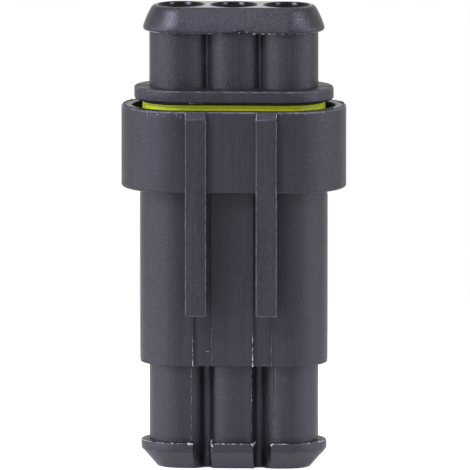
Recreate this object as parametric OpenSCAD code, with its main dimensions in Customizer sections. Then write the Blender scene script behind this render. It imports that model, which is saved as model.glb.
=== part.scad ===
// Sealed three-way wire connector: a plug half pushed into a cap half, a little short of home.
// The pair stands on the cap's wire end. X runs along the row of wires, Z along the wires,
// and the latch arms are on the front, towards -Y. Millimetres.

/* [Row of ways] */
// Distance between neighbouring wires
pitch = 6; // [5.8:0.1:6.6]
// Bore in each tower that a wire seal sits in
seal_bore_d = 4.7; // [4.5:0.05:4.9]
// Depth of that bore from the mouth
seal_bore_depth = 8.75; // [8.4:0.05:9.2]
// Bore behind it, round the crimped stretch of a contact
crimp_bore_d = 3.9; // [3.8:0.05:4.1]
// Length of the crimp bore
crimp_bore_len = 5.75; // [5.4:0.05:6.2]
// Side of the square chamber round the front of a contact
chamber_w = 2.5; // [2.45:0.05:2.8]
// How far a mouth in the plug's end face stands out past its bore
mouth_flare = 0.33; // [0.2:0.01:0.4]
// Depth over which that mouth narrows to the bore
mouth_flare_len = 1.5; // [0.8:0.1:1.8]

/* [Towers] */
// Wall of each lobe round its seal bore
lobe_wall = 1.2; // [1:0.01:1.3]
// Fillet at the bottom of the valleys between the plug's lobes
valley_r = 0.2; // [0.1:0.05:1]
// The same fillet in the cap's grooves
groove_valley_r = 0.6; // [0.6:0.1:1]

/* [Plug half] */
// Height of the flared lip at the plug's wire end
plug_lip_h = 2.9; // [2.4:0.1:3.4]
// How far that lip stands out past the tower
plug_lip_flare = 0.74; // [0.4:0.01:0.9]
// Wall of the lip at its end face
plug_lip_wall = 0.79; // [0.6:0.01:0.9]
// Radius of the lip's lower edge
plug_lip_edge_r = 0.35; // [0.2:0.05:0.5]
// Radius that the lip's flank is bowed to
plug_lip_bow = 11; // [7:0.5:15]
// Height of the plug's tower between flange and lip
plug_tower_h = 6.35; // [5.8:0.05:8]
// Thickness of the flange
flange_t = 1.5; // [1.2:0.05:1.9]
// How far the flange stands out past the tower
flange_reach = 1.72; // [1.5:0.01:1.9]
// Radius of the flange's lower edge
flange_edge_r = 0.3; // [0.1:0.05:0.5]
// Length of the nose below the flange
nose_len = 18.55; // [17.5:0.05:19.5]
// Wall of the nose round the crimp bores
nose_wall = 1.45; // [1.3:0.05:1.6]

/* [Interface seal] */
// Step that keeps the seal from slipping off the nose
seat_step = 0.15; // [0.1:0.05:0.3]
// Thickness of the seal's band
seal_band_t = 1.11; // [0.9:0.01:1.2]
// How far the seal's lips stand out past its band
seal_lip_reach = 0.49; // [0.3:0.01:0.55]
// Radius of each lip
seal_lip_r = 0.4; // [0.3:0.05:0.45]
// Distance between the two lips
seal_lip_pitch = 1.3; // [1.1:0.05:1.5]
// Gap between the top of the seal and the flange
seal_top_gap = 0.25; // [0.1:0.05:0.6]

/* [Hood] */
// Wall of the hood at its mouth
hood_wall = 1.22; // [1:0.01:1.5]
// Height of the hood
hood_h = 9.35; // [8.8:0.05:10.5]
// Floor of the hood round the body
hood_floor = 1.2; // [1:0.05:1.5]
// Radius of the hood's lower edge
hood_edge_r = 0.3; // [0.2:0.05:0.7]
// Radius of the hood's rim
rim_edge_r = 0.2; // [0.1:0.05:0.3]
// Gap between the rim and the flange, as the pair stands
standoff = 0.65; // [0.4:0.05:1.6]

/* [Body] */
// Height of the body below the hood
body_h = 20.05; // [19:0.05:21.5]
// Wall of the body round the nose
body_wall = 1.06; // [0.85:0.01:1.3]
// Radius of the body's lower edge
body_edge_r = 0.15; // [0.1:0.05:0.5]
// Height of the cap's tower between body and lip
cap_tower_h = 8.85; // [8.4:0.05:10]
// Height of the flared lip at the cap's wire end
cap_lip_h = 3.1; // [2.6:0.1:3.4]
// Height of the straight band round that lip
cap_lip_band = 1; // [0.5:0.05:1.2]
// How far the lip stands out past the tower
cap_lip_flare = 0.95; // [0.7:0.01:1.1]
// Wall of the lip at its end face
cap_lip_wall = 0.28; // [0.2:0.01:0.5]

/* [Grooves] */
// Distance of each groove from the middle
groove_x = 3.4; // [3.2:0.05:3.5]
// Width of the grooves in the lip and the body
groove_w = 2.05; // [1.8:0.05:2.4]
// Width of the grooves in the tower
tower_groove_w = 2.45; // [2:0.05:2.7]
// Depth of the grooves in the body
groove_depth = 0.45; // [0.2:0.05:0.6]

/* [Latch] */
// Distance of each latch arm from the middle
arm_x = 4; // [3.6:0.05:4.2]
// Width of an arm
arm_w = 2.4; // [2:0.1:2.8]
// Thickness of an arm
arm_t = 1.5; // [1.2:0.1:1.8]
// How far an arm stands out past the hood
arm_rise = 0.8; // [0.6:0.05:1.1]
// Length of an arm below the hood
arm_drop = 13.95; // [12:0.05:16]
// Height of the slope at the top of an arm
arm_slope_h = 0.85; // [0.5:0.05:1.2]
// Width of the catch inside the rim at each arm
catch_w = 2; // [1.6:0.1:2.4]
// Height of a catch's square tip
catch_tip_h = 0.2; // [0.1:0.05:0.3]

/* [Contacts and wire seals] */
// Thickness of the contact strip
strip_t = 0.3; // [0.2:0.02:0.36]
// Width of a tab's blade
tab_w = 1.5; // [1.3:0.05:1.6]
// Thickness of a tab's blade
tab_t = 0.8; // [0.6:0.05:0.9]
// Length of a tab above the floor of the cap's socket
tab_len = 8.5; // [7.5:0.1:9.5]
// Length of the spring box of a socket contact
box_len = 8.5; // [7.5:0.1:9.5]
// Thickness of the lock plates
lock_t = 0.8; // [0.6:0.05:1]
// Length of a lock plate's legs
lock_leg_len = 3.6; // [3:0.1:4]
// How deep a wire seal sits below the mouth
seal_set = 1.85; // [1.5:0.05:2.2]
// Length of a wire seal's ribbed stretch
wire_seal_len = 5.5; // [5:0.05:5.8]
// Length of its tail, which the contact grips
tail_len = 2; // [1.6:0.05:2.2]
// Diameter of the tail
tail_d = 2.9; // [2.6:0.05:3]
// Hole through a wire seal
wire_hole_d = 1.7; // [1.2:0.05:2]
// Ribs round a wire seal
wire_rib_r = 0.45; // [0.35:0.05:0.5]

/* [Fits] */
// Clearance of flange in hood mouth
flange_gap = 0.25; // [0.15:0.05:0.35]
// Clearance of nose in body
nose_gap = 0.15; // [0.1:0.01:0.25]
// Clearance of the seal's lips in the hood
lip_gap = 0.05; // [0.03:0.01:0.1]
// Clearance of a rubber seal on its seat
seat_gap = 0.03; // [0.02:0.01:0.06]
// Clearance of plates, legs and contacts in their slots
slot_gap = 0.1; // [0.05:0.01:0.12]
// Gap left at the ends of seal and nose when the pair is home
end_gap = 0.25; // [0.15:0.05:0.4]

/* [Hidden] */
$fn = 96;
eps = 0.01;
beyond = 1;

ways = 3;
row_half = pitch * (ways - 1) / 2;
function way_x(i) = (i - 1) * pitch - row_half;

// Radii of the row-shaped outlines, each round the outer wires
bore_r = seal_bore_d / 2;
crimp_r = crimp_bore_d / 2;
lobe_r = bore_r + lobe_wall;
flange_r = lobe_r + flange_reach;
mouth_r = flange_r + flange_gap;
hood_r = mouth_r + hood_wall;
nose_r = crimp_r + nose_wall;
seat_r = nose_r - seat_step;
band_r = seat_r + seal_band_t;
lip_r = band_r + seal_lip_reach;
land_r = lip_r + lip_gap;
socket_r = nose_r + nose_gap;
body_r = socket_r + body_wall;
cap_lip_r = lobe_r + cap_lip_flare;
cap_end_r = bore_r + cap_lip_wall;
plug_lip_r = lobe_r + plug_lip_flare;
plug_end_r = bore_r + plug_lip_wall;

// Levels, from the cap's end face up
body_z = cap_lip_h + cap_tower_h;
hood_z = body_z + body_h;
rim_z = hood_z + hood_h;
flange_z = rim_z + standoff;
tower_z = flange_z + flange_t;
plug_lip_z = tower_z + plug_tower_h;
top_z = plug_lip_z + plug_lip_h;

// The catches, and where the flange stands once it has passed them
catch_reach = mouth_r - land_r;
catch_top_z = rim_z - slot_gap;
catch_low_z = catch_top_z - catch_reach - catch_tip_h;
home_flange_z = catch_low_z - flange_t - lip_gap;
pocket_z = home_flange_z - end_gap;
hood_floor_z = hood_z + hood_floor;
seal_len = home_flange_z - hood_floor_z - end_gap;
socket_z = home_flange_z - nose_len - end_gap;
nose_z = flange_z - nose_len;
plug_lock_r = nose_r - nose_wall / 2 - slot_gap / 2;
seal_lip_margin = 0.1;
lead_in = 0.3;

// Distances from a wire mouth inwards, the same in both halves
chamber_d0 = seal_bore_depth + crimp_bore_len;
seal_end_d = seal_set + wire_seal_len;
tail_end_d = seal_end_d + tail_len;
cap_chamber_d1 = socket_z - lock_t;
plug_chamber_d1 = top_z - nose_z - lock_t;

// The contact strip: its grip, core crimp, folded box, lance and spring
grip_r = tail_d / 2 + lip_gap;
box_w = chamber_w - 2 * slot_gap;
box_inner = box_w - 2 * strip_t;
floor_w = 1.2;
core_r = 0.8;
core_len = 2.2;
core_step = 0.8;
wing_h = 1.1;
front_gap = 0.1;
lance_w = 1.2;
lance_out = 0.3;
lance_len = 2.2;
lance_root = 0.5;
spring_w = 1;
spring_t = 0.2;
spring_end = 1;
spring_gap = 0.05;

// The wire seals
wire_ribs = 3;
rib_margin = 0.3;

// The lock plates
leg_t = 0.8;
leg_w = 3;
window_gap = 0.15;

plastic = "#2d2c31";
lock_plastic = "#4a4a50";
rubber = "#a3bb14";
strip_metal = "#c8a54c";

// Outline of a row: two round ends and the straight stretch between them
module row_outline(r) {
    for (side = [-1, 1]) translate([side * row_half, 0]) circle(r);
    square([2 * row_half, 2 * r], center = true);
}

// Solid whose half-section, radius by height, is carried round the row
module row_sweep() {
    for (side = [-1, 1])
        translate([side * row_half, 0, 0])
            rotate([0, 0, -90 * side]) rotate_extrude(angle = 180) children();
    rotate([90, 0, 90]) linear_extrude(2 * row_half, center = true) {
        children();
        mirror([1, 0]) children();
    }
}

// What rounding takes off the lower outer corner of a section, with the corner at the origin
module corner_off(r) {
    translate([-r, 0]) difference() {
        square([r, r]);
        translate([0, r]) circle(r);
    }
}

// Half-section of a plain band with a rounded lower and upper edge
module band_section(r, h, low_r = 0, high_r = 0) {
    difference() {
        square([r, h]);
        if (low_r > 0) translate([r, 0]) corner_off(low_r);
        if (high_r > 0) translate([r, h]) mirror([0, 1]) corner_off(high_r);
    }
}

// Outline of lobes of radius r round the wires, with the valleys filleted
module lobes(r, fillet_r) {
    valley_y = sqrt(pow(r + fillet_r, 2) - pow(pitch / 2, 2));
    for (i = [1 : ways]) translate([way_x(i), 0]) circle(r);
    for (i = [1 : ways - 1]) translate([way_x(i), 0]) difference() {
        polygon([[0, 0], [pitch / 2, -valley_y], [pitch, 0], [pitch / 2, valley_y]]);
        for (side = [-1, 1]) translate([pitch / 2, side * valley_y]) circle(fillet_r);
    }
}

// The two grooves of width w in plan, open to the front
module groove_plan(w, depth_y) {
    for (side = [-1, 1])
        translate([side * groove_x - w / 2, -hood_r]) square([w, hood_r - depth_y]);
}

// What lies at the bottom of the cap's grooves: slimmer lobes
module groove_floor() {
    lobes(lobe_r - groove_depth, groove_valley_r);
}

// Plan of the cap's tower: lobes in front, a smooth row behind, grooved down to the slimmer lobes
module tower_plan() {
    difference() {
        union() {
            lobes(lobe_r, valley_r);
            intersection() {
                row_outline(lobe_r);
                translate([-row_half - lobe_r, 0]) square([2 * (row_half + lobe_r), lobe_r]);
            }
        }
        groove_plan(tower_groove_w, 0);
    }
    groove_floor();
}

// Plan of the cap's lip: a row of radius r, grooved in front like the tower
module lip_plan(r) {
    difference() {
        row_outline(r);
        groove_plan(groove_w, 0);
    }
    groove_floor();
}

// Space for one wire seal and contact, from its mouth inwards to depth d1
module way_space(d1) {
    translate([0, 0, -beyond]) cylinder(r = bore_r, h = seal_bore_depth + beyond);
    translate([0, 0, seal_bore_depth - eps]) cylinder(r = crimp_r, h = crimp_bore_len + eps);
    translate([-chamber_w / 2, -chamber_w / 2, chamber_d0 - eps])
        cube([chamber_w, chamber_w, d1 - chamber_d0 + 2 * eps]);
    lance_space(d1);
}

// Slots between the ways for a lock plate's legs, from z = 0 down
module leg_slots() {
    for (i = [1 : ways - 1])
        translate([way_x(i) + pitch / 2, 0, -lock_leg_len / 2])
            cube([leg_t + 2 * slot_gap, leg_w + 2 * slot_gap, lock_leg_len + 2 * slot_gap], center = true);
}

// A lock plate's legs and windows: the plate's face is at z = 0 and its legs point down
module lock_plate(r) {
    difference() {
        translate([0, 0, -lock_t]) linear_extrude(lock_t) row_outline(r);
        for (i = [1 : ways]) translate([way_x(i), 0, -lock_t / 2])
            cube([tab_w + 2 * window_gap, tab_t + 2 * window_gap, lock_t + 2 * beyond], center = true);
    }
    for (i = [1 : ways - 1]) translate([way_x(i) + pitch / 2, 0, -lock_t - lock_leg_len / 2 + eps])
        cube([leg_t, leg_w, lock_leg_len], center = true);
}

// One latch arm: a rib on the hood that runs on below it as a free finger
module latch_arm() {
    front = hood_r + arm_rise;
    translate([-arm_w / 2, 0, 0]) rotate([90, 0, 90]) linear_extrude(arm_w) polygon([
        [arm_t - front, hood_z - arm_drop],
        [-front, hood_z - arm_drop],
        [-front, rim_z - arm_slope_h],
        [-hood_r, rim_z],
        [arm_t - front, rim_z]
    ]);
}

// One catch inside the rim: sloped above, square below
module catch() {
    tip = -mouth_r + catch_reach;
    translate([-catch_w / 2, 0, 0]) rotate([90, 0, 90]) linear_extrude(catch_w) polygon([
        [-mouth_r - hood_wall / 2, catch_low_z],
        [tip, catch_low_z],
        [tip, catch_low_z + catch_tip_h],
        [-mouth_r, catch_top_z],
        [-mouth_r - hood_wall / 2, catch_top_z]
    ]);
}

// Space inside the cap: flange pocket, seal land and nose socket, each with a lead-in
module cap_space() {
    row_sweep() polygon([
        [0, cap_chamber_d1],
        [socket_r, cap_chamber_d1],
        [socket_r, hood_floor_z - lead_in],
        [socket_r + lead_in, hood_floor_z],
        [land_r, hood_floor_z],
        [land_r, pocket_z - lead_in],
        [land_r + lead_in, pocket_z],
        [mouth_r, pocket_z],
        [mouth_r, rim_z + beyond],
        [0, rim_z + beyond]
    ]);
}

module cap_outside() {
    intersection() {
        row_sweep() polygon([
            [0, 0],
            [cap_end_r, 0],
            [cap_lip_r, cap_lip_h - cap_lip_band],
            [cap_lip_r, cap_lip_h],
            [0, cap_lip_h]
        ]);
        linear_extrude(cap_lip_h) lip_plan(cap_lip_r + beyond);
    }
    translate([0, 0, cap_lip_h - eps]) linear_extrude(cap_tower_h + 2 * eps) tower_plan();
    difference() {
        translate([0, 0, body_z]) row_sweep() band_section(body_r, body_h + eps, body_edge_r);
        translate([0, 0, body_z - beyond])
            linear_extrude(body_h + beyond) groove_plan(groove_w, body_r - groove_depth);
    }
    translate([0, 0, hood_z]) row_sweep() band_section(hood_r, hood_h, hood_edge_r, rim_edge_r);
    for (side = [-1, 1]) translate([side * arm_x, 0, 0]) latch_arm();
}

module cap_housing() {
    color(plastic) {
        difference() {
            cap_outside();
            cap_space();
            for (i = [1 : ways]) in_cap(i) way_space(cap_chamber_d1);
            translate([0, 0, cap_chamber_d1]) leg_slots();
        }
        for (side = [-1, 1]) translate([side * arm_x, 0, 0]) catch();
    }
}

module cap_lock() {
    color(lock_plastic) translate([0, 0, socket_z]) lock_plate(socket_r - slot_gap);
}

// Half-section of the plug's lip: a rounded lower edge, then a flank bowed outwards to the end face
module plug_lip_section() {
    low = [plug_lip_r, plug_lip_edge_r];
    high = [plug_end_r, plug_lip_h];
    half = norm(high - low) / 2;
    inwards = [low[1] - high[1], high[0] - low[0]] / (2 * half);
    centre = (low + high) / 2 + inwards * sqrt(pow(plug_lip_bow, 2) - pow(half, 2));
    intersection() {
        band_section(plug_lip_r, plug_lip_h, plug_lip_edge_r);
        translate(centre) circle(plug_lip_bow);
    }
}

// The plug's outside, from the nose's tip up to the wire end
module plug_outside() {
    seat_z = flange_z - seal_len;
    translate([0, 0, nose_z]) row_sweep() polygon([
        [0, 0],
        [nose_r - lead_in, 0],
        [nose_r, lead_in],
        [nose_r, seat_z - nose_z],
        [seat_r, seat_z - nose_z],
        [seat_r, nose_len + eps],
        [0, nose_len + eps]
    ]);
    translate([0, 0, flange_z]) row_sweep() band_section(flange_r, flange_t, flange_edge_r, rim_edge_r);
    translate([0, 0, tower_z - eps]) linear_extrude(plug_tower_h + 2 * eps) lobes(lobe_r, valley_r);
    translate([0, 0, plug_lip_z]) row_sweep() plug_lip_section();
}

module plug_housing() {
    color(plastic) difference() {
        plug_outside();
        for (i = [1 : ways]) in_plug(i) {
            way_space(plug_chamber_d1);
            translate([0, 0, -eps]) cylinder(r1 = bore_r + mouth_flare, r2 = bore_r, h = mouth_flare_len);
        }
        translate([0, 0, nose_z - beyond])
            linear_extrude(lock_t + beyond) row_outline(plug_lock_r + slot_gap / 2);
        translate([0, 0, nose_z + lock_t]) mirror([0, 0, 1]) leg_slots();
    }
}

module interface_seal() {
    color(rubber) translate([0, 0, flange_z - seal_len]) row_sweep() {
        translate([seat_r + seat_gap, 0]) square([band_r - seat_r - seat_gap, seal_len - seal_top_gap]);
        for (i = [0 : 1])
            translate([lip_r - seal_lip_r, seal_lip_r + seal_lip_margin + i * seal_lip_pitch])
                circle(seal_lip_r);
    }
}

module plug_lock() {
    color(lock_plastic) translate([0, 0, nose_z]) mirror([0, 0, 1]) lock_plate(plug_lock_r);
}

// The wire end of a contact, from its mouth inwards: a grip round the seal's tail,
// a core crimp and the strip that joins them, as far as depth d1
module crimp_end(d1) {
    grip_d = seal_end_d + seat_gap;
    grip_len = tail_len - 2 * seat_gap;
    core_d = tail_end_d + core_step;
    floor_y = grip_r;
    translate([0, 0, grip_d]) difference() {
        cylinder(r = grip_r + strip_t, h = grip_len);
        translate([0, 0, -beyond]) cylinder(r = grip_r, h = grip_len + 2 * beyond);
        translate([-grip_r / 3, -2 * grip_r, -beyond])
            cube([2 * grip_r / 3, 2 * grip_r, grip_len + 2 * beyond]);
    }
    translate([-floor_w / 2, floor_y, grip_d + grip_len / 2])
        cube([floor_w, strip_t, d1 - grip_d - grip_len / 2]);
    translate([0, 0, core_d]) linear_extrude(core_len) difference() {
        union() {
            translate([0, floor_y - core_r]) circle(core_r + strip_t);
            translate([-core_r - strip_t, floor_y - core_r - wing_h])
                square([2 * (core_r + strip_t), wing_h]);
        }
        translate([0, floor_y - core_r]) circle(core_r);
        translate([-core_r, -2 * grip_r]) square([2 * core_r, 3 * grip_r - core_r]);
    }
}

// The strip's jog from the crimp bore into the chamber, and its floor as far as depth d1
module chamber_floor(d1) {
    jog_d = chamber_d0 - 2 * strip_t;
    translate([-floor_w / 2, box_inner / 2, jog_d])
        cube([floor_w, grip_r + strip_t - box_inner / 2, strip_t]);
    translate([-floor_w / 2, box_inner / 2, jog_d]) cube([floor_w, strip_t, d1 - jog_d]);
}

// A folded box of the contact between two depths, with a lance sprung out of its roof
module contact_box(d0, d1) {
    translate([-box_w / 2, -box_w / 2, d0]) difference() {
        cube([box_w, box_w, d1 - d0]);
        translate([strip_t, strip_t, -beyond]) cube([box_inner, box_inner, d1 - d0 + 2 * beyond]);
    }
    translate([-lance_w / 2, 0, d1 - lance_root]) rotate([90, 0, 90]) linear_extrude(lance_w) polygon([
        [-box_w / 2 + strip_t / 2, 0],
        [-box_w / 2, 0],
        [-box_w / 2 - lance_out, -lance_len],
        [-box_w / 2 - lance_out + strip_t / 2, -lance_len]
    ]);
}

// Space beside a chamber that the lance springs into, with the ledge that it bears on
module lance_space(d1) {
    lance_d = d1 - front_gap - lance_root - lance_len - slot_gap;
    translate([-lance_w / 2 - slot_gap, -chamber_w / 2 - lance_out, lance_d])
        cube([lance_w + 2 * slot_gap, lance_out + slot_gap, d1 - lance_d + eps]);
}

// Spring inside a socket contact's box, bowed up from its floor to the tab
module tab_spring(d0, d1) {
    top_y = tab_t / 2 + spring_gap;
    foot_y = box_inner / 2 + strip_t / 2;
    mid_d = (d0 + d1) / 2;
    translate([-spring_w / 2, 0, 0]) rotate([90, 0, 90]) linear_extrude(spring_w) polygon([
        [foot_y, d0 + spring_end],
        [top_y, mid_d - spring_end / 2],
        [top_y, mid_d + spring_end / 2],
        [foot_y, d1 - spring_end],
        [foot_y, d1 - 2 * spring_end],
        [top_y + spring_t, mid_d],
        [foot_y, d0 + 2 * spring_end]
    ]);
}

// Female contact: crimps, strip and a spring box that a tab enters
module socket_contact() {
    box_d1 = plug_chamber_d1 - front_gap;
    box_d0 = box_d1 - box_len;
    color(strip_metal) {
        crimp_end(chamber_d0 - strip_t);
        chamber_floor(box_d0 + eps);
        contact_box(box_d0, box_d1);
        tab_spring(box_d0, box_d1);
    }
}

// Male contact: crimps, strip, a folded box and the blade with its pointed tip
module tab_contact() {
    box_d0 = chamber_d0 + front_gap;
    box_d1 = cap_chamber_d1 - front_gap;
    tip_d = socket_z + tab_len;
    root_y = box_inner / 2 + strip_t / 2;
    color(strip_metal) {
        crimp_end(chamber_d0 - strip_t);
        chamber_floor(box_d0 + eps);
        contact_box(box_d0, box_d1);
        translate([-tab_w / 2, -tab_t / 2, box_d1 - tab_w]) cube([tab_w, root_y + tab_t / 2, tab_w]);
        translate([-tab_w / 2, 0, 0]) rotate([90, 0, 90]) linear_extrude(tab_w) polygon([
            [-tab_t / 2, box_d1 - tab_w],
            [tab_t / 2, box_d1 - tab_w],
            [tab_t / 2, tip_d - tab_t],
            [tab_t / 8, tip_d],
            [-tab_t / 8, tip_d],
            [-tab_t / 2, tip_d - tab_t]
        ]);
    }
}

// Rubber gland for one wire: a ribbed plug in the seal bore and a tail in the contact's grip
module wire_seal() {
    rib_c = bore_r - lip_gap - wire_rib_r;
    rib_step = (wire_seal_len - 2 * wire_rib_r - 2 * rib_margin) / (wire_ribs - 1);
    color(rubber) translate([0, 0, seal_set]) rotate_extrude() {
        translate([wire_hole_d / 2, 0]) square([bore_r - wire_rib_r - wire_hole_d / 2, wire_seal_len]);
        translate([wire_hole_d / 2, wire_seal_len - eps])
            square([(tail_d - wire_hole_d) / 2, tail_len + eps]);
        for (i = [0 : wire_ribs - 1])
            translate([rib_c, rib_margin + wire_rib_r + i * rib_step]) circle(wire_rib_r);
    }
}

// Places a piece in one of the cap's ways, its wire mouth at the bottom
module in_cap(i) {
    translate([way_x(i), 0, 0]) children();
}

// Places a piece in one of the plug's ways, its wire mouth at the top
module in_plug(i) {
    translate([way_x(i), 0, top_z]) mirror([0, 0, 1]) children();
}

cap_housing();
cap_lock();
plug_housing();
interface_seal();
plug_lock();
for (i = [1 : ways]) {
    in_cap(i) tab_contact();
    in_cap(i) wire_seal();
    in_plug(i) socket_contact();
    in_plug(i) wire_seal();
}
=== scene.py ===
# %% [markdown]
# # A sealed three-way wire connector
# The object is a pair of black mouldings for three wires, 53 mm tall. A plug half, at the top, is pushed
# into a hooded cap half, and a yellow-green rubber seal shows as a thin band between them.
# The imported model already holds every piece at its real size. This lesson leaves the sizes alone and works
# on what the eye sees: rounded edges, the sandy grain of the mould, torn flash, rubber and pressed brass.

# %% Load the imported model
import math

import bmesh
import bpy
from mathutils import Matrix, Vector, noise
from mathutils.bvhtree import BVHTree


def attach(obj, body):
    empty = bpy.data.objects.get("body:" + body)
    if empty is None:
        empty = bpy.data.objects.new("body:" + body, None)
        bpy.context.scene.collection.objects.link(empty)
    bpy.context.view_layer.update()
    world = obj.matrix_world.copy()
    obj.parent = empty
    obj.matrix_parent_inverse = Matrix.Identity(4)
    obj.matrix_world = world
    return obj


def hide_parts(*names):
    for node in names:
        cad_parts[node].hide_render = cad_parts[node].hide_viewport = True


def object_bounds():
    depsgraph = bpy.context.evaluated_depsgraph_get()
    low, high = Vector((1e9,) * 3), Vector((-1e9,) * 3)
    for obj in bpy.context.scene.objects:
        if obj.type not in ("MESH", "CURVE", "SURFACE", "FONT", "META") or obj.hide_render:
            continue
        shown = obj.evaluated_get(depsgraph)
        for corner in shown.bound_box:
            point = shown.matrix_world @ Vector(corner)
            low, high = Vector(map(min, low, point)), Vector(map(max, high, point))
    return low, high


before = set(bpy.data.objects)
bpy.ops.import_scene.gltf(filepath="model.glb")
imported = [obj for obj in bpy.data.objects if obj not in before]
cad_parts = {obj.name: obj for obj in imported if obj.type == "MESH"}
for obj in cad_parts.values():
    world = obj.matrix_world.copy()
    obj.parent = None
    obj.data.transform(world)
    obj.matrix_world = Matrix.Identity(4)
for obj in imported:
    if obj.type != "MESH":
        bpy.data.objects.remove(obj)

MM = 0.001
cad_low, cad_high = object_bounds()
print("Nodes:", len(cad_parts), "Box in mm:", [round(v / MM, 2) for v in cad_high - cad_low])

# %% [markdown]
# ## The camera
# A small product is often shot from far away with a long lens, so that its sides stay parallel. Here the
# mouths of the three wire ways show as thin ovals, which puts the camera 8 degrees above the table, and the
# front features sit a little left of the middle, which puts it 2.6 degrees round to the right. The lens
# follows from the scale: how many pixels one millimetre takes in an image 470 pixels wide.

# %% Place the camera
IMAGE_SIDE = 470
SENSOR = 36.0
PIXELS_PER_MM = 8.82
CAMERA_AZIMUTH = math.radians(2.6)
CAMERA_ELEVATION = math.radians(8.0)
CAMERA_DISTANCE = 2.4
CAMERA_TARGET = Vector((0.13 * MM, 0.0, 26.38 * MM))
NEAREST_SEEN = 0.1
FURTHEST_SEEN = 10.0


def add_object(name, data):
    """Makes an object from its data and puts it in the scene."""
    thing = bpy.data.objects.new(name, data)
    bpy.context.scene.collection.objects.link(thing)
    return thing


def direction(azimuth, elevation):
    """Unit vector towards a place round the object. Azimuth 0 is the front, and it grows to the right."""
    flat = math.cos(elevation)
    return Vector((math.sin(azimuth) * flat, -math.cos(azimuth) * flat, math.sin(elevation)))


def aim(thing, distance, azimuth, elevation):
    """Places a camera or lamp in a direction from the target, looking at it."""
    thing.location = CAMERA_TARGET + distance * direction(azimuth, elevation)
    thing.rotation_euler = (CAMERA_TARGET - thing.location).to_track_quat("-Z", "Y").to_euler()


camera_data = bpy.data.cameras.new("camera")
camera_data.sensor_width = SENSOR
camera_data.lens = PIXELS_PER_MM / MM * CAMERA_DISTANCE / IMAGE_SIDE * SENSOR
camera_data.clip_start = NEAREST_SEEN
camera_data.clip_end = FURTHEST_SEEN
camera = add_object("camera", camera_data)
aim(camera, CAMERA_DISTANCE, CAMERA_AZIMUTH, CAMERA_ELEVATION)
bpy.context.scene.camera = camera
print("Lens in mm:", round(camera_data.lens))

# %% [markdown]
# ## Nodes in few lines
# Every material below is a small network of nodes. A few helpers keep the networks readable: an input is
# given either a plain value, which is set in it, or another node's output, which is joined to it. A shader
# node group has its own sockets, which Blender 4.5 makes through the group's interface.

# %% Helpers for node networks
# A Mix node has its own inputs and output for each kind of data, at these numbers.
MIX_PLACES = {"FLOAT": (2, 3, 0), "RGBA": (6, 7, 2)}


def feed(tree, node, values):
    """Feeds inputs by name or number: an output is joined to the input, a plain value is set in it."""
    for name, value in values.items():
        if isinstance(value, bpy.types.NodeSocket):
            tree.links.new(value, node.inputs[name])
        else:
            node.inputs[name].default_value = value


def put(tree, kind, values=None, **settings):
    """Adds a node, makes its settings and feeds its inputs."""
    node = tree.nodes.new(kind)
    for name, value in settings.items():
        setattr(node, name, value)
    feed(tree, node, values or {})
    return node


def combine(tree, operation, first, second, use_clamp=False):
    """The result of a Math node on two values."""
    node = put(tree, "ShaderNodeMath", {0: first, 1: second}, operation=operation, use_clamp=use_clamp)
    return node.outputs[0]


def mix(tree, kind, share, first, second):
    """The result of a Mix node, first where share is 0 and second where it is 1."""
    at_first, at_second, at_result = MIX_PLACES[kind]
    node = put(tree, "ShaderNodeMix", {0: share, at_first: first, at_second: second}, data_type=kind)
    return node.outputs[at_result]


def remap(tree, value, low, high, to_low=0.0, to_high=1.0, **settings):
    """A value moved from one range to another, and held inside the new one."""
    node = put(tree, "ShaderNodeMapRange", {
        "Value": value, "From Min": low, "From Max": high, "To Min": to_low, "To Max": to_high}, **settings)
    return node.outputs["Result"]


def soft_noise(tree, place, scale, detail, roughness):
    """Values that drift over the surface between 0 and 1, most of them near 0.5."""
    node = put(tree, "ShaderNodeTexNoise", {
        "Vector": place, "Scale": scale, "Detail": detail, "Roughness": roughness})
    return node.outputs["Fac"]


def face_value(tree, name):
    """A number that the mesh holds for each of its faces."""
    node = put(tree, "ShaderNodeAttribute", attribute_name=name, attribute_type="GEOMETRY")
    return node.outputs["Fac"]


def millimetres(tree):
    """The point on the piece in millimetres, so that a scale of 1 is one feature to the millimetre."""
    place = put(tree, "ShaderNodeTexCoord").outputs["Object"]
    scaled = put(tree, "ShaderNodeVectorMath", {0: place, "Scale": 1 / MM}, operation="SCALE")
    return scaled.outputs["Vector"]


def new_group(name, inputs, outputs):
    """An empty shader group. inputs maps names to plain numbers, and outputs is a list of names."""
    tree = bpy.data.node_groups.new(name, "ShaderNodeTree")
    for socket_name, value in inputs.items():
        socket = tree.interface.new_socket(socket_name, in_out="INPUT", socket_type="NodeSocketFloat")
        socket.default_value = value
    for socket_name in outputs:
        tree.interface.new_socket(socket_name, in_out="OUTPUT", socket_type="NodeSocketFloat")
    return tree, put(tree, "NodeGroupInput").outputs, put(tree, "NodeGroupOutput")


def new_material(name):
    """A material with nodes, and its tree."""
    material = bpy.data.materials.new(name)
    material.use_nodes = True
    return material, material.node_tree


# %% [markdown]
# ## Floor, backdrop and light
# The photograph has a plain white surround. The floor is matt white: close to the object it is lifted to
# full white with a little light of its own and keeps the soft shadow, and further out what the camera sees
# is plain white, so that no grey horizon shows. The world does the same: white where it is seen or
# mirrored, dimmer where it lights.

# %% Build the floor and the world
WHITE = (1, 1, 1, 1)
FLOOR_HALF = 3.0
FLOOR_COLOUR = (0.8, 0.8, 0.8, 1.0)
FLOOR_ROUGHNESS = 0.9
FLOOR_LIFT = 0.55
SHADOW_NEAR = 0.04
SHADOW_FAR = 0.14
WORLD_LIGHT = 0.41


def seen_directly(tree):
    """1 where a camera ray, a mirrored ray or a ray through glass arrives, and 0 for other light."""
    path = put(tree, "ShaderNodeLightPath").outputs
    mirrored = combine(tree, "MAXIMUM", path["Is Camera Ray"], path["Is Glossy Ray"])
    return combine(tree, "MAXIMUM", mirrored, path["Is Transmission Ray"])


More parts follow.
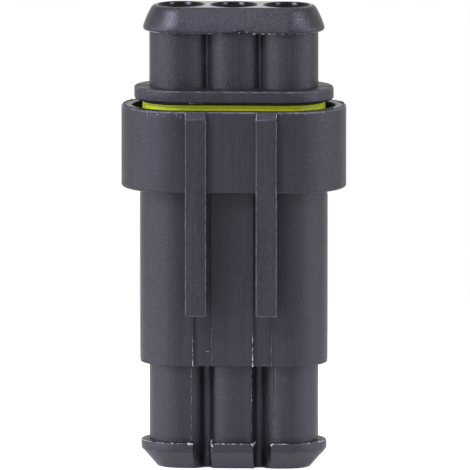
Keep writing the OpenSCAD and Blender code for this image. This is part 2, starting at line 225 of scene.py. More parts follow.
def floor_material():
    """Matt white near the object, where the shadow falls, and plain white for the camera further out."""
    material, tree = new_material("white_floor")
    seen = seen_directly(tree)
    near = tree.nodes["Principled BSDF"]
    feed(tree, near, {
        "Base Color": FLOOR_COLOUR,
        "Roughness": FLOOR_ROUGHNESS,
        "Emission Color": WHITE,
        "Emission Strength": combine(tree, "MULTIPLY", seen, FLOOR_LIFT)})
    far = put(tree, "ShaderNodeEmission", {"Color": WHITE, "Strength": 1.0})
    place = put(tree, "ShaderNodeTexCoord").outputs["Object"]
    distance = put(tree, "ShaderNodeVectorMath", {0: place}, operation="LENGTH").outputs["Value"]
    fade = remap(tree, distance, SHADOW_NEAR, SHADOW_FAR, interpolation_type="SMOOTHSTEP")
    share = combine(tree, "MULTIPLY", fade, seen)
    both = put(tree, "ShaderNodeMixShader", {0: share, 1: near.outputs[0], 2: far.outputs[0]})
    feed(tree, tree.nodes["Material Output"], {"Surface": both.outputs[0]})
    return material


floor_mesh = bpy.data.meshes.new("floor")
corners = [(x * FLOOR_HALF, y * FLOOR_HALF, 0) for x, y in ((-1, -1), (1, -1), (1, 1), (-1, 1))]
floor_mesh.from_pydata(corners, [], [(0, 1, 2, 3)])
floor_mesh.materials.append(floor_material())
floor = add_object("floor", floor_mesh)

world = bpy.data.worlds.new("white_surround")
world.use_nodes = True
bpy.context.scene.world = world
sky = world.node_tree
feed(sky, sky.nodes["Background"], {
    "Color": WHITE, "Strength": remap(sky, seen_directly(sky), 0.0, 1.0, WORLD_LIGHT, 1.0)})

# %% [markdown]
# Black plastic has almost no colour to show, so its shape is read from what it mirrors. The photograph has
# one clear highlight on the left round end of the upper lip and a weaker one on the right, which puts a
# small lamp high on the left and a weaker one high on the right. The flanks of the upright lobes are lit as
# well, which takes a small lamp lower down on each side, the stronger one on the left. A wide lamp level
# with the table on each side brightens the outermost flanks, and a weak one overhead the faces that slope
# upwards. The highlights are a little bluer than the rest, so the lamps are too.

# %% Set up the soft lamps
LAMP_DISTANCE = 0.45
LAMP_COLOUR = (0.90, 0.88, 1.0)
# Each lamp: name, azimuth and elevation in degrees, side in metres, and power in watts.
LAMPS = (
    ("key_left", -40, 38, 0.10, 2.6),
    ("key_right", 52, 38, 0.10, 1.15),
    ("low_left", -50, 5, 0.12, 0.8),
    ("side_left", -84, 0, 0.22, 1.2),
    ("low_right", 66, 5, 0.12, 0.38),
    ("side_right", 84, 2, 0.20, 0.85),
    ("top", 0, 79, 0.22, 0.45))

for name, azimuth, elevation, side, watts in LAMPS:
    data = bpy.data.lights.new(name, "AREA")
    data.shape = "SQUARE"
    data.size = side
    data.energy = watts
    data.color = LAMP_COLOUR
    lamp = add_object(name, data)
    lamp.visible_camera = False
    aim(lamp, LAMP_DISTANCE, math.radians(azimuth), math.radians(elevation))
bpy.context.scene.view_settings.view_transform = "Standard"
print("Lamps:", len(LAMPS))

# %% [markdown]
# ## Effects that several finishes share
# The mould for such a housing is spark eroded, so the plastic comes out with a fine sandy skin. Rubber and
# brass have a skin of their own at other sizes. One group makes them all: fine grain for the bump, a slower
# mottle for small changes of tone and gloss, and faint upright streaks, which a moulding gets when it is
# drawn out of the mould along its length.

# %% Group: sandy skin
STREAK_SCALE = 2.2
STREAK_STRETCH = 0.04


def skin_group():
    """Grain, mottle and streaks. The inputs say how many features the first two have to a millimetre."""
    tree, given, made = new_group("sandy_skin", {"Grain": 5.0, "Mottle": 0.6}, ["Height", "Tone", "Streak"])
    place = millimetres(tree)
    stretch = (1.0, 1.0, STREAK_STRETCH)
    drawn = put(tree, "ShaderNodeVectorMath", {0: place, 1: stretch}, operation="MULTIPLY")
    feed(tree, made, {
        "Height": soft_noise(tree, place, given["Grain"], detail=3.0, roughness=0.6),
        "Tone": soft_noise(tree, place, given["Mottle"], detail=2.0, roughness=0.5),
        "Streak": soft_noise(tree, drawn.outputs["Vector"], STREAK_SCALE, detail=2.0, roughness=0.6)})
    return tree


SKIN = skin_group()

# %% [markdown]
# Rounded edges catch handling first, and they also show as thin bright lines in the light. The rounding step
# below marks its new faces with a number kept with each face, higher where more handling shows and highest
# on the arms' edges, where the pale line is a painted highlight. This group breaks that band up with noise,
# so that an edge is painted pale in some places and not in others, partly as rubbing and partly as painted
# highlight. It also makes sparse flecks, as if other parts had touched.

# %% Group: rubbed edges with painted highlights, and flecks
PATCH_SCALE = 1.3
PATCH_START = 0.72
PATCH_FULL = 0.75
FLECK_SCALE = 3.4
FLECK_START = 0.66
FLECK_FULL = 0.74


def rub_and_highlight_group():
    """Where edges are painted pale, as rubbing and as painted highlight, further round for a higher Reach,
    and where flecks lie.
    """
    tree, given, made = new_group("rubbed", {"Reach": 0.5, "Flecks": 0.0}, ["Edge", "Fleck"])
    place = millimetres(tree)
    band = face_value(tree, "edge_wear_and_highlight")
    reach = combine(tree, "MULTIPLY", given["Reach"], band)
    start = combine(tree, "SUBTRACT", PATCH_START, reach)
    patches = soft_noise(tree, place, PATCH_SCALE, detail=4.0, roughness=0.65)
    dots = soft_noise(tree, place, FLECK_SCALE, detail=2.0, roughness=0.5)
    worn_and_highlit = remap(tree, patches, start, PATCH_FULL)
    few = remap(tree, dots, FLECK_START, FLECK_FULL)
    feed(tree, made, {
        "Edge": combine(tree, "MULTIPLY", band, worn_and_highlit, use_clamp=True),
        "Fleck": combine(tree, "MULTIPLY", few, given["Flecks"])})
    return tree


RUB_AND_HIGHLIGHT = rub_and_highlight_group()

# %% [markdown]
# ## The finishes
# All finishes go through one recipe: the base colour moves a little with the mottle, the grain and the
# streaks, and the gloss with it. The rubbed edges, whose pale colour is partly painted highlight, and the
# flecks are laid over it in a paler colour, and the grain drives the bump. Faces marked with polish, such as
# the flat ends of the housings, are smoother. What stays the same all over, such as metal, is set on the
# shader itself.

# %% One recipe for a finish
# Noise keeps near the middle, so these ends of the grain and the streaks are spread to full strength.
GRAIN_ENDS = (0.36, 0.64)
STREAK_ENDS = (0.3, 0.7)
GRAIN_SHARE = 0.55
STREAK_SHARE = 0.5
POLISHED_ROUGHNESS = 0.11
POLISHED_RELIEF = 0.25


def finish_material(
        name, dark, light, pale, gloss, grain, mottle, flecks, bump,
        reach=0.0, mirror=(1.0, 1.0, 1.0), metallic=0.0):
    """dark and light are the ends of the mottle, pale is the colour of rubbed edges, which is partly painted
    highlight, and of flecks, gloss the ends of roughness, bump the depth of the grain in mm, and mirror
    tints what the surface mirrors."""
    material, tree = new_material(name)
    skin = put(tree, "ShaderNodeGroup", {"Grain": grain, "Mottle": mottle}, node_tree=SKIN).outputs
    rub = put(tree, "ShaderNodeGroup", {"Reach": reach, "Flecks": flecks}, node_tree=RUB_AND_HIGHLIGHT).outputs
    polish = face_value(tree, "polish")
    blend = mix(tree, "FLOAT", GRAIN_SHARE, skin["Tone"], remap(tree, skin["Height"], *GRAIN_ENDS))
    streaks = remap(tree, skin["Streak"], *STREAK_ENDS, to_low=-0.5, to_high=0.5)
    tone = combine(tree, "ADD", blend, combine(tree, "MULTIPLY", streaks, STREAK_SHARE), use_clamp=True)
    base = mix(tree, "RGBA", tone, (*dark, 1), (*light, 1))
    # Pale marks: flecks, and rubbed edges whose pale colour is partly painted highlight.
    marks = combine(tree, "MAXIMUM", rub["Edge"], rub["Fleck"])
    rough = remap(tree, tone, 0.0, 1.0, *gloss)
    relief = put(tree, "ShaderNodeBump", {
        "Strength": remap(tree, polish, 0.0, 1.0, to_low=1.0, to_high=POLISHED_RELIEF),
        "Distance": bump * MM,
        "Height": skin["Height"]})
    feed(tree, tree.nodes["Principled BSDF"], {
        "Base Color": mix(tree, "RGBA", marks, base, (*pale, 1)),
        "Roughness": mix(tree, "FLOAT", polish, rough, POLISHED_ROUGHNESS),
        "Normal": relief.outputs["Normal"],
        "Metallic": metallic,
        "Specular Tint": (*mirror, 1)})
    return material


black_plastic = finish_material(
    "black_plastic", dark=(0.001, 0.001, 0.002), light=(0.0080, 0.0074, 0.0096), pale=(0.05, 0.05, 0.06),
    gloss=(0.38, 0.52), grain=5.5, mottle=0.7, flecks=0.25, bump=0.05, reach=0.25, mirror=(0.70, 0.68, 0.80))
# The bore walls' finish is painted shade: darker and mirroring less than the outer plastic, for the shade
# inside the bores.
bore_plastic_painted_shade = finish_material(
    "bore_plastic_painted_shade", dark=(0.001, 0.001, 0.002), light=(0.004, 0.004, 0.006), pale=(0.05, 0.05, 0.062),
    gloss=(0.16, 0.26), grain=7.0, mottle=1.5, flecks=0.2, bump=0.012, mirror=(0.26, 0.25, 0.30))
lock_plastic = finish_material(
    "lock_plastic", dark=(0.055, 0.055, 0.062), light=(0.08, 0.08, 0.09), pale=(0.2, 0.2, 0.22),
    gloss=(0.4, 0.5), grain=7.0, mottle=0.8, flecks=0.1, bump=0.02, reach=0.2)
# Pale torn plastic for flash, specks and burrs, and for the painted highlights on the arms' slopes.
torn_plastic_and_highlight = finish_material(
    "torn_plastic_and_highlight", dark=(0.07, 0.068, 0.08), light=(0.35, 0.34, 0.38), pale=(0.55, 0.55, 0.57),
    gloss=(0.35, 0.6), grain=9.0, mottle=3.0, flecks=0.3, bump=0.03)
scuffed_plastic = finish_material(
    "scuffed_plastic", dark=(0.01, 0.01, 0.012), light=(0.18, 0.18, 0.205), pale=(0.3, 0.3, 0.32),
    gloss=(0.3, 0.5), grain=9.0, mottle=4.0, flecks=0.3, bump=0.03)
# Dark, dull plastic for the gate scar and the seams; on the line round the rim its darkness is painted
# shade.
scar_and_shade_plastic = finish_material(
    "scar_and_shade_plastic", dark=(0.001, 0.001, 0.002), light=(0.006, 0.006, 0.009), pale=(0.1, 0.1, 0.12),
    gloss=(0.6, 0.8), grain=7.0, mottle=2.0, flecks=0.4, bump=0.05, mirror=(0.35, 0.34, 0.4))
seal_rubber = finish_material(
    "seal_rubber", dark=(0.315, 0.385, 0.007), light=(0.41, 0.49, 0.010), pale=(0.52, 0.60, 0.08),
    gloss=(0.5, 0.62), grain=3.0, mottle=0.4, flecks=0.3, bump=0.015, mirror=(0.6, 0.6, 0.6))
pressed_brass = finish_material(
    "pressed_brass", dark=(0.68, 0.47, 0.19), light=(0.8, 0.6, 0.28), pale=(0.9, 0.75, 0.45),
    gloss=(0.22, 0.36), grain=8.0, mottle=1.2, flecks=0.2, bump=0.006, reach=0.2, metallic=1.0)
print("Finishes:", [m.name for m in bpy.data.materials])

# %% [markdown]
# ## Rounding the moulded edges
# A mould cutter can't leave a perfectly sharp outer corner, and light only draws an edge that is round. The
# imported mesh has sharp corners made of many triangles. Welding its points, merging flat triangles and then
# bevelling each outer corner gives real rounded geometry, which also exports. Inner corners stay sharp,
# because there the dark crease is what the photograph shows. The same step writes on each face how much it
# is painted pale, as rubbing and as painted highlight, and how much it is polished. It also gives the walls
# of the wire bores a darker finish of their own, which is painted shade for the shade inside the bores.

# %% Where edges are rubbed and painted with highlights, and faces polished
# Places and levels in millimetres.
FOOT = cad_low.z / MM
TOP = cad_high.z / MM
END_DEPTH = 0.02
WAYS = (-6.0, 0.0, 6.0)
BORE_REACH = 2.75
LIP_LEVEL = 49.9
RIM_LOW = 41.2
RIM_HIGH = 41.6
ARM_FRONT = -6.9
SLOPE_START = 40.3
# How much the faces are polished, and how much they are painted pale as rubbing and as painted highlight,
# most on the arms' edges.
LIP_POLISH = 0.2
RIM_POLISH = 0.4
PLAIN_WEAR_AND_HIGHLIGHT = 0.7
ARM_WEAR_AND_HIGHLIGHT = 1.6
# Levels painted pale all round, partly as rubbing and partly as a painted highlight along the edge, from, to
# and how much: the hood's rim and the flange's upper edge.
WORN_AND_HIGHLIT_BANDS = (
    (41.14, 41.34, 1.5),
    (43.2, 43.48, 1.1))
# A face is level when its normal rises more steeply than this.
LEVEL = 0.9


def wear_and_highlight_at(point, rounded):
    """How strongly a face is painted pale, as rubbing and as painted highlight: all the way round at some
    levels, and elsewhere on rounded corners, most on the arms.
    """
    height = point.z / MM
    for low, high, strength in WORN_AND_HIGHLIT_BANDS:
        if low < height < high:
            return strength
    if not rounded:
        return 0.0
    on_arm = point.y / MM < ARM_FRONT and height < SLOPE_START
    return ARM_WEAR_AND_HIGHLIGHT if on_arm else PLAIN_WEAR_AND_HIGHLIGHT


def polish_at(point, normal):
    """1 on the flat ends round the wire mouths, and less on the hood's rim and the upper lip."""
    height = point.z / MM
    at_top = height > TOP - END_DEPTH and normal.z > LEVEL
    at_foot = height < FOOT + END_DEPTH and normal.z < -LEVEL
    if at_top or at_foot:
        return 1.0
    if RIM_LOW < height < RIM_HIGH and normal.z > LEVEL:
        return RIM_POLISH
    return LIP_POLISH if height > LIP_LEVEL else 0.0


def in_bore(point, normal):
    """True on the walls of the wire bores, which take the finish of painted shade."""
    x = point.x / MM
    y = point.y / MM
    return min(math.hypot(x - way, y) for way in WAYS) < BORE_REACH and abs(normal.z) < LEVEL


# %% Copy a node with its outer edges rounded
WELD = 0.002 * MM
TINY_EDGE = 0.08 * MM
HOUSING_EDGE = 0.12 * MM
LIP_EDGE = 0.26 * MM
LOCK_EDGE = 0.08 * MM
FLAT_ANGLE = math.radians(0.3)
SHARP_ANGLE = math.radians(28)
SHADE_ANGLE = math.radians(38)
LIP_DEPTH = 0.05
MOUTH_REACH = 2.85


def sharp_chains(shape):
    """Groups of joined outer corners. Corners next to the tiny edges of a CAD rounding are left alone."""
    waiting = {
        e for e in shape.edges
        if len(e.link_faces) == 2 and e.is_convex and e.calc_face_angle(0) > SHARP_ANGLE
        and min(near.calc_length() for v in e.verts for near in v.link_edges) > TINY_EDGE}
    chains = []
    for start in [e for e in shape.edges if e in waiting]:
        if start not in waiting:
            continue
        waiting.discard(start)
        chain = [start]
        for edge in chain:
            for vertex in edge.verts:
                for near in vertex.link_edges:
                    if near in waiting:
                        waiting.discard(near)
                        chain.append(near)
        chains.append(chain)
    return chains


def round_the_lip(chain):
    """True for the outer corner round the top of the upper lip, the softest one in the photograph."""
    places = [vertex.co / MM for edge in chain for vertex in edge.verts]
    at_top = min(place.z for place in places) > TOP - LIP_DEPTH
    inmost = min(math.hypot(place.x - way, place.y) for place in places for way in WAYS)
    return at_top and inmost > MOUTH_REACH


def rounded_shape(node, width, bores):
    """The node's mesh with outer corners rounded by width, in metres. bores tells whether it has any."""
    shape = bmesh.new()
    shape.from_mesh(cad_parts[node].data)
    bmesh.ops.remove_doubles(shape, verts=shape.verts, dist=WELD)
    bmesh.ops.dissolve_limit(shape, angle_limit=FLAT_ANGLE, verts=shape.verts, edges=shape.edges)
    band = shape.faces.layers.float.new("edge_wear_and_highlight")
    polish = shape.faces.layers.float.new("polish")
    rounded = set()
    for chain in sharp_chains(shape):
        new = bmesh.ops.bevel(
            shape, geom=chain, offset=LIP_EDGE if round_the_lip(chain) else width,
            offset_type="OFFSET", segments=2, profile=0.5, affect="EDGES", clamp_overlap=True)
        rounded.update(new["faces"])
    for face in shape.faces:
        place = face.calc_center_median()
        face[band] = wear_and_highlight_at(place, face in rounded)
        face[polish] = polish_at(place, face.normal)
        face.smooth = True
        # The walls of the bores take the second finish, which is painted shade.
        face.material_index = int(bores and in_bore(place, face.normal))
    return shape


def object_from(shape, name, finishes):
    """Turns a built mesh into an object with its finishes."""
    mesh = bpy.data.meshes.new(name)
    shape.to_mesh(mesh)
    shape.free()
    for finish in finishes:
        mesh.materials.append(finish)
    print(name, "triangles:", sum(len(p.vertices) - 2 for p in mesh.polygons))
    return add_object(name, mesh)


def dress(node, name, body, finishes, width):
    """Puts a rounded copy in a node's place. A second finish, darkened as painted shade, is for the walls of
    its bores.
    """
    piece = object_from(rounded_shape(node, width, len(finishes) > 1), name, finishes)
    if "custom_normal" in piece.data.attributes:
        piece.data.attributes.remove(piece.data.attributes["custom_normal"])
    piece.data.set_sharp_from_angle(angle=SHADE_ANGLE)
    normals = piece.modifiers.new("even_normals", "WEIGHTED_NORMAL")
    normals.keep_sharp = True
    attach(piece, body)
    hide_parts(node)
    return piece


HOUSING = [black_plastic, bore_plastic_painted_shade]
cap_shell = dress("cap_housing", "cap_shell", "cap", HOUSING, HOUSING_EDGE)
plug_shell = dress("plug_housing", "plug_shell", "plug", HOUSING, HOUSING_EDGE)
dress("cap_lock", "cap_lock_plate", "cap", [lock_plastic], LOCK_EDGE)
dress("plug_lock", "plug_lock_plate", "plug", [lock_plastic], LOCK_EDGE)

# %% [markdown]
# ## Torn flash and small scars
# Where the mould's halves and inserts meet, a thin film of plastic is torn off and leaves a ragged pale
# line. It is thickest on the upper front edge of the lower lip and along the left edges of the body's
# grooves. A few short pale lines of the same make, on the edges of the slopes on top of the arms, are
# painted highlights. Each line is a closed tube that follows the surface: its points are found by shooting
# straight at the part, so that it lies on the edge from any side. Its radius changes from ring to ring with
# noise.

# %% Points on the surface
RING_STEP = 0.12 * MM
FEWEST_STEPS = 3
FAR = 30 * MM


def surface_of(piece):
    """A tree of the piece's triangles, for finding points on its surface."""
    shape = bmesh.new()
    shape.from_mesh(piece.data)
    tree = BVHTree.FromBMesh(shape)
    shape.free()
    return tree


def front_point(surface, x, z):
    """The point straight behind a place in front of the part, given in millimetres, or None."""
    return surface.ray_cast(Vector((x * MM, -FAR, z * MM)), Vector((0, 1, 0)))[0]


def side_point(surface, side, y, z):
    """The point that a level line from the left, side -1, or the right, side 1, meets first."""
    return surface.ray_cast(Vector((side * FAR, y * MM, z * MM)), Vector((-side, 0, 0)))[0]


def point_below(surface, x, y, z):
    """The point straight below a place given in millimetres."""
    return surface.ray_cast(Vector((x * MM, y * MM, z * MM)), Vector((0, 0, -1)))[0]


def spaced(start, end, count):
    """Evenly spaced numbers from start to end, one more than count."""
    return [start + (end - start) * i / count for i in range(count + 1)]


def front_line(surface, x0, z0, x1, z1):
    """Points on the front of the part between two places given in millimetres."""
    length = math.hypot(x1 - x0, z1 - z0) * MM
    count = max(FEWEST_STEPS, round(length / RING_STEP))
    points = [front_point(surface, x, z) for x, z in zip(spaced(x0, x1, count), spaced(z0, z1, count))]
    return [point for point in points if point is not None]


# %% Ragged tubes
RING_SIDES = 6
RING_UNEVEN = 0.35
NOISE_ALONG = 0.9
NOISE_ROUND = 1.7
# A tube's thickness follows noise: the length of its patches, its level, a wave and a finer ripple. The
# power keeps it thin in most places.
PATCH_LENGTH = 0.35 * MM
RAG_LEVEL = 0.45
RAG_WAVE = 0.8
RAG_RIPPLE = 0.3
RIPPLE_SCALE = 2.7
RAG_POWER = 2.5
SEED_STEP = 7.3
# A direction that no line on the part follows, for setting up the rings.
SKEW = Vector((0.27, 1.0, 0.16))


def ragged(points, low, high, seed):
    """A radius in metres for each point: mostly low, and up to high where the noise peaks, both in mm."""
    radii = []
    for point in points:
        place = point / PATCH_LENGTH + Vector((seed * SEED_STEP, 0, 0))
        wave = RAG_LEVEL + RAG_WAVE * noise.noise(place) + RAG_RIPPLE * noise.noise(place * RIPPLE_SCALE)
        radii.append((low + (high - low) * min(1.0, max(0.0, wave)) ** RAG_POWER) * MM)
    return radii


def add_bead(shape, points, radii, seed=0.0):
    """Adds a closed tube through the points, a little uneven, to a mesh that is being built."""
    rings = []
    for i, (point, radius) in enumerate(zip(points, radii)):
        along = (points[min(i + 1, len(points) - 1)] - points[max(i - 1, 0)]).normalized()
        across = along.cross(SKEW).normalized()
        other = along.cross(across)
        ring = []
        for side in range(RING_SIDES):
            angle = 2 * math.pi * side / RING_SIDES
            rough = 1 + RING_UNEVEN * noise.noise(Vector((i * NOISE_ALONG, side * NOISE_ROUND, seed)))
            place = point + radius * rough * (math.cos(angle) * across + math.sin(angle) * other)
            ring.append(shape.verts.new(place))
        rings.append(ring)
    for one, two in zip(rings, rings[1:]):
        for side in range(RING_SIDES):
            after = (side + 1) % RING_SIDES
            shape.faces.new((one[side], one[after], two[after], two[side]))
    shape.faces.new(reversed(rings[0]))
    shape.faces.new(rings[-1])


def close_piece(shape, name, body, finish):
    """Turns the built mesh into a piece of the housing's plastic that rides on a body."""
    bmesh.ops.recalc_face_normals(shape, faces=shape.faces)
    piece = object_from(shape, name, [finish])
    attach(piece, body)
    return piece


# %% Flash along the front edges, and painted highlights on the arms
# Each line: start x and z, end x and z, then the thin and the thick radius, all in millimetres.
CAP_FLASH_AND_HIGHLIGHTS = (
    # The upper front edge of the lower lip.
    (-9.7, 3.08, -4.5, 3.08, 0.0, 0.12),
    (-2.34, 3.08, 2.34, 3.08, 0.0, 0.13),
    (4.46, 3.08, 9.9, 3.08, 0.0, 0.12),
    # Burrs at the corners of its grooves.
    (-5.1, 3.05, -4.45, 3.02, 0.08, 0.28),
    (-2.42, 3.1, -2.2, 2.75, 0.08, 0.24),
    (2.2, 3.1, 2.4, 2.85, 0.10, 0.28),
    (4.42, 2.9, 4.65, 3.1, 0.08, 0.26),
    (-2.36, 2.7, -2.36, 1.0, 0.0, 0.05),
    # The edges of the body's grooves.
    (-4.45, 15.7, -4.45, 12.05, 0.0, 0.09),
    (2.34, 15.9, 2.34, 12.05, 0.0, 0.09),
    (-4.45, 12.5, -4.45, 11.98, 0.05, 0.14),
    (2.34, 12.4, 2.34, 11.98, 0.05, 0.14),
    (-2.36, 16.5, -2.36, 12.1, 0.0, 0.02),
    (4.44, 16.5, 4.44, 12.1, 0.0, 0.02),
    # The edges of the lower tower's grooves.
    (-4.66, 11.8, -4.66, 3.3, 0.0, 0.04),
    (2.14, 11.8, 2.14, 3.3, 0.0, 0.045),
    (4.66, 8.5, 4.66, 3.3, 0.0, 0.03),
    # A burr in the body's left groove, and pale lines on the edges of the slopes on top of the arms, which
    # are painted highlights.
    (-3.0, 13.62, -2.6, 13.6, 0.02, 0.035),
    (-5.16, 41.25, -5.16, 40.5, 0.02, 0.06),
    (2.86, 41.25, 2.86, 40.5, 0.02, 0.06),
    (5.14, 41.2, 5.14, 40.6, 0.0, 0.05))
PLUG_FLASH = (
    # The lower edge of the upper lip, then that of the flange.
    (-9.8, 49.93, -8.5, 49.93, 0.02, 0.08),
    (-8.5, 49.93, -0.4, 49.93, 0.0, 0.05),
    (2.3, 49.93, 8.5, 49.93, 0.0, 0.08),
    (-4.8, 42.06, -3.4, 42.06, 0.0, 0.07))


def flash_piece(surface, lines, name, body):
    """One piece of torn plastic for all the lines of a table; the lines on the arms' slopes are painted
    highlights.
    """
    shape = bmesh.new()
    for number, (x0, z0, x1, z1, thin, thick) in enumerate(lines):
        points = front_line(surface, x0, z0, x1, z1)
        add_bead(shape, points, ragged(points, thin, thick, number), number)
    return close_piece(shape, name, body, torn_plastic_and_highlight)


cap_surface = surface_of(cap_shell)
plug_surface = surface_of(plug_shell)
flash_piece(cap_surface, CAP_FLASH_AND_HIGHLIGHTS, "cap_flash_and_highlights", "cap")
flash_piece(plug_surface, PLUG_FLASH, "plug_flash", "plug")

# %% [markdown]
# The plastic came in through a small gate at the lower edge of the upper lip. Where its stub was broken off,
# a dark lumpy scar is left with a few pale specks. The hood has fine scuffs below its rim, most of them on
# the left, where another housing rubbed against it.

# %% The gate scar and the scuffs
# The gate's left and right end and its lower edge, and the inset and height of each ridge of its scar.
# All places, heights and radii here are in millimetres.
GATE_LEFT = -0.15
GATE_RIGHT = 1.95
GATE_LEVEL = 50.02
SCAR_RIDGES = ((0.0, 0.0), (0.25, 0.14), (0.6, 0.24))
SCAR_THIN = 0.08
SCAR_THICK = 0.22
SCAR_SEED = 30
# The specks: how many, how far they spread past the gate, and how far they stand out of the scar.
SPECK_COUNT = 10
SPECK_MARGIN = 0.2
SPECK_DROP = 0.1
SPECK_RISE = 0.42
SPECK_LIFT = 0.08
SPECK_SMALLEST = 0.03
SPECK_SPREAD = 0.035
LUMP_LENGTH = 0.03
LUMP_UNEVEN = 0.4
LUMP_DEPTH = 0.6
# Each field of scuffs: left, right, lowest, highest and how many. The fields get denser towards the rim, and
# each takes its places and sizes from three seeds of its own, from 4 on.
SCUFF_FIELDS = (
    (-9.6, -5.0, 40.5, 41.25, 90),
    (-11.5, -9.0, 41.0, 41.3, 26),
    (4.9, 10.5, 40.95, 41.3, 46))
SCUFF_CROWDING = 0.6
SCUFF_SMALLEST = 0.02
SCUFF_SPREAD = 0.04
# Steps and a size that make the sine in scattered jump about as if by chance.
INDEX_STEP = 12.9898
CHANCE_STEP = 78.233
SINE_SIZE = 43758.5453


def scattered(index, seed):
    """A repeatable number from 0 to 1."""
    value = math.sin(index * INDEX_STEP + seed * CHANCE_STEP) * SINE_SIZE
    return value - math.floor(value)


def add_speck(shape, point, radius):
    """Adds a small flat lump that lies on the surface at the point. The radius is in millimetres."""
    made = bmesh.ops.create_icosphere(shape, subdivisions=1, radius=radius * MM)
    for vertex in made["verts"]:
        spread = 1 + LUMP_UNEVEN * noise.noise(vertex.co / (LUMP_LENGTH * MM) + point / MM)
        vertex.co = point + Vector((vertex.co.x * spread, vertex.co.y * LUMP_DEPTH, vertex.co.z * spread))


scar = bmesh.new()
for row, (inset, height) in enumerate(SCAR_RIDGES):
    level = GATE_LEVEL + height
    ridge = front_line(plug_surface, GATE_LEFT + inset, level, GATE_RIGHT - inset, level)
    add_bead(scar, ridge, ragged(ridge, SCAR_THIN, SCAR_THICK, SCAR_SEED + row), row)
close_piece(scar, "gate_scar", "plug", scar_and_shade_plastic)

specks = bmesh.new()
for index in range(SPECK_COUNT):
    x = GATE_LEFT - SPECK_MARGIN + (GATE_RIGHT - GATE_LEFT + 2 * SPECK_MARGIN) * scattered(index, 1)
    z = GATE_LEVEL - SPECK_DROP + SPECK_RISE * scattered(index, 2)
    spot = front_point(plug_surface, x, z) - Vector((0, SPECK_LIFT * MM, 0))
    add_speck(specks, spot, SPECK_SMALLEST + SPECK_SPREAD * scattered(index, 3))
close_piece(specks, "gate_specks", "plug", torn_plastic_and_highlight)

scuffs = bmesh.new()
for field, (left, right, low, high, count) in enumerate(SCUFF_FIELDS):
    for index in range(count):
        x = left + (right - left) * scattered(index, 4 + 3 * field)
        z = low + (high - low) * scattered(index, 5 + 3 * field) ** SCUFF_CROWDING
        radius = SCUFF_SMALLEST + SCUFF_SPREAD * scattered(index, 6 + 3 * field)
        add_speck(scuffs, front_point(cap_surface, x, z), radius)
close_piece(scuffs, "rim_scuffs", "cap", scuffed_plastic)

# %% [markdown]
# The two halves of each mould met in the plane through the row of wires, which leaves a hair-thin witness
# line down both round ends. The hood is the widest part, and a ridge on it would reach past the packed
# model's box, so it is left without one.

# %% Witness lines on the round ends
WITNESS = 0.03 * MM
WITNESS_STEP = 0.4
CAP_SPANS = ((1.3, 3.0), (3.3, 11.8), (12.2, 31.2))
PLUG_SPANS = ((42.2, 43.3), (43.75, 49.6), (50.1, 52.5))


def witness_lines(surface, spans, name, body):
    """One piece for the lines on both ends. Each span is a lowest and a highest level in millimetres."""
    shape = bmesh.new()
    for low, high in spans:
        count = max(FEWEST_STEPS, round((high - low) / WITNESS_STEP))
        for side in (-1, 1):
            points = [side_point(surface, side, 0, z) for z in spaced(low, high, count)]
            add_bead(shape, points, [WITNESS] * len(points))
    return close_piece(shape, name, body, black_plastic)


witness_lines(cap_surface, CAP_SPANS, "cap_witness_lines", "cap")
witness_lines(plug_surface, PLUG_SPANS, "plug_witness_lines", "plug")

# %% [markdown]
# On the flange the two mould halves didn't close quite flush, so a dark line crosses its top and its right
# end. On top of the hood a ragged line runs round both ends, close to the outer edge, where the hood's
# sleeve met the mould, and it is painted dark as the shade that lies along the rim's top.

# %% Lines across the flange and round the rim
# The seam's place in depth, its ends on top of the flange, and a height above it, all in millimetres.
LEDGE_STEP = 0.1
SEAM_DEPTH = -0.25
SEAM_OUTER = 11.15
SEAM_INNER = 9.6
SEAM_ABOVE = 49.0
SEAM_RADIUS = 0.04 * MM
# Where it runs down the flange's right end.
END_SEAM_RADIUS = 0.06 * MM
END_SEAM_START = 42.15
END_SEAM_STEP = 0.11
END_SEAM_POINTS = 12
# The line round the rim: its radius about the outer ways and its ends in degrees behind and in front.
RIM_RADIUS = 6.5
RIM_BACK = -75.0
RIM_FRONT = 70.0
RIM_STEPS = 120
RIM_ABOVE = 50.0
RIM_THIN = 0.04
RIM_THICK = 0.17
RIM_SEED = 70


def ledge_line(surface, x0, y0, x1, y1, above):
    """Points on a level face between two places, found from a height above it, all in millimetres."""
    count = max(FEWEST_STEPS, round(math.hypot(x1 - x0, y1 - y0) / LEDGE_STEP))
    return [point_below(surface, x, y, above) for x, y in zip(spaced(x0, x1, count), spaced(y0, y1, count))]


def rim_arc(surface, side):
    """Points on top of the hood close to its outer edge, round one end from the back to the front."""
    points = []
    for turn in spaced(RIM_BACK, RIM_FRONT, RIM_STEPS):
        angle = math.radians(turn)
        x = side * (WAYS[2] + RIM_RADIUS * math.cos(angle))
        y = -RIM_RADIUS * math.sin(angle)
        points.append(point_below(surface, x, y, RIM_ABOVE))
    return points


seams = bmesh.new()
for side in (-1, 1):
    across = ledge_line(
        plug_surface, side * SEAM_OUTER, SEAM_DEPTH, side * SEAM_INNER, SEAM_DEPTH, SEAM_ABOVE)
    add_bead(seams, across, [SEAM_RADIUS] * len(across), side)
levels = [END_SEAM_START + END_SEAM_STEP * i for i in range(END_SEAM_POINTS)]
down = [side_point(plug_surface, 1, SEAM_DEPTH, level) for level in levels]
add_bead(seams, down, [END_SEAM_RADIUS] * len(down), seed=3)
close_piece(seams, "flange_seams", "plug", scar_and_shade_plastic)

# The line round the rim is painted dark as shade.
rims = bmesh.new()
for side in (-1, 1):
    arc = rim_arc(cap_surface, side)
    add_bead(rims, arc, ragged(arc, RIM_THIN, RIM_THICK, RIM_SEED + side), side)
close_piece(rims, "rim_seams_painted_shade", "cap", scar_and_shade_plastic)

# %% [markdown]
# On the ledge of the lower lip the plane between the mould halves left a pale ridge of flash at each end,
# and the front edge is torn beside it.

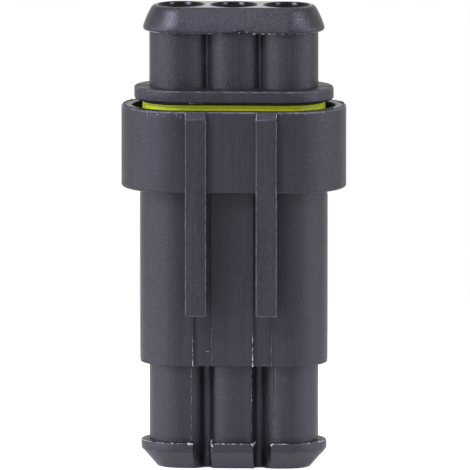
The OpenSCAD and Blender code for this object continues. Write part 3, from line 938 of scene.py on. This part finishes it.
# %% Flash on the lower lip's ledge
# Places on the right half, and thin and thick radii, in millimetres.
LEDGE_OUTER = 10.4
LEDGE_OUTER_DEPTH = -0.3
LEDGE_INNER = 9.6
LEDGE_INNER_DEPTH = -0.1
LEDGE_ABOVE = 11.0
CORNER_INNER = 9.7
CORNER_OUTER = 10.44
CORNER_LEVEL = 3.06
FLASH_THIN = 0.03
LEDGE_THICK = 0.14
CORNER_THICK = 0.12
LEDGE_SEED = 50
CORNER_SEED = 60

ridges = bmesh.new()
for side in (-1, 1):
    across = ledge_line(
        cap_surface, side * LEDGE_OUTER, LEDGE_OUTER_DEPTH,
        side * LEDGE_INNER, LEDGE_INNER_DEPTH, LEDGE_ABOVE)
    add_bead(ridges, across, ragged(across, FLASH_THIN, LEDGE_THICK, LEDGE_SEED + side), side)
    edge = front_line(cap_surface, side * CORNER_INNER, CORNER_LEVEL, side * CORNER_OUTER, CORNER_LEVEL)
    add_bead(ridges, edge, ragged(edge, FLASH_THIN, CORNER_THICK, CORNER_SEED + side), side)
close_piece(ridges, "ledge_flash", "cap", torn_plastic_and_highlight)

# %% [markdown]
# ## Rubber and brass
# The seals are smooth revolved and swept shapes, so their CAD meshes only need the rubber finish. The
# contacts are folded from strip, and a fine bevel on every fold and cut edge lets the metal glint.

# %% Finish the seals and the contacts
STRIP_EDGE = 0.03 * MM


def refinish(node, finish):
    """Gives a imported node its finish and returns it."""
    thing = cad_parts[node]
    thing.data.materials.clear()
    thing.data.materials.append(finish)
    return thing


refinish("interface_seal", seal_rubber)
for way in (1, 2, 3):
    for half in ("cap", "plug"):
        refinish(f"{half}_wire_seal_{way}", seal_rubber)
    for kind in ("tab", "socket"):
        contact = refinish(f"{kind}_contact_{way}", pressed_brass)
        weld = contact.modifiers.new("weld", "WELD")
        weld.merge_threshold = WELD
        bevel = contact.modifiers.new("strip_edges", "BEVEL")
        bevel.width = STRIP_EDGE
        bevel.segments = 2
        bevel.limit_method = "ANGLE"
        bevel.angle_limit = SHARP_ANGLE
